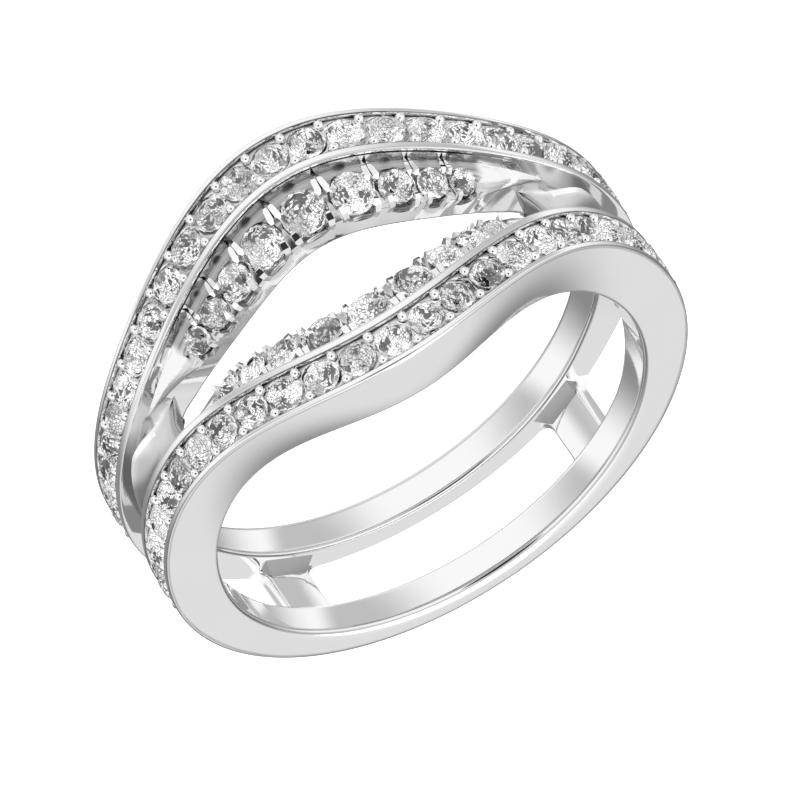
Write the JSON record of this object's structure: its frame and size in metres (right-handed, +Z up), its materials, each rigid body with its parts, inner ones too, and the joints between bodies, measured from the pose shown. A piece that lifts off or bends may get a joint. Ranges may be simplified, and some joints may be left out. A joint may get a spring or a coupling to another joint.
{
  "type": "ring guard enhancer",
  "caption": "Ring guard: two bowed bands joined at the shoulders and back, with rows of round stones and an open slot that takes another ring.",
  "frame": {"origin": "on the floor under the middle of the ring's bounding box, with the ring lying on its side", "axes": "+Z up, within 9 degrees of the finger's axis; +Y to the front, where the two bands bow apart; +X to the wearer's side that is on the right in the picture"},
  "size_m": [0.0214, 0.022, 0.0113],
  "materials": {
    "white_metal": "polished",
    "brilliant": "cut and polished"
  },
  "bodies": {
    "root": {"ring_frame": "white_metal", "pave_row_upper": "brilliant", "pave_row_lower": "brilliant", "gallery_stone_u1": "brilliant", "gallery_stone_u2": "brilliant", "gallery_stone_u3": "brilliant", "gallery_stone_u4": "brilliant", "gallery_stone_u5": "brilliant", "gallery_stone_u6": "brilliant", "gallery_stone_u7": "brilliant", "gallery_stone_u8": "brilliant", "gallery_stone_u9": "brilliant", "gallery_stone_l1": "brilliant", "gallery_stone_l2": "brilliant", "gallery_stone_l3": "brilliant", "gallery_stone_l4": "brilliant", "gallery_stone_l5": "brilliant", "gallery_stone_l6": "brilliant", "gallery_stone_l7": "brilliant", "gallery_stone_l8": "brilliant", "gallery_stone_l9": "brilliant"}
  },
  "joints": []
}
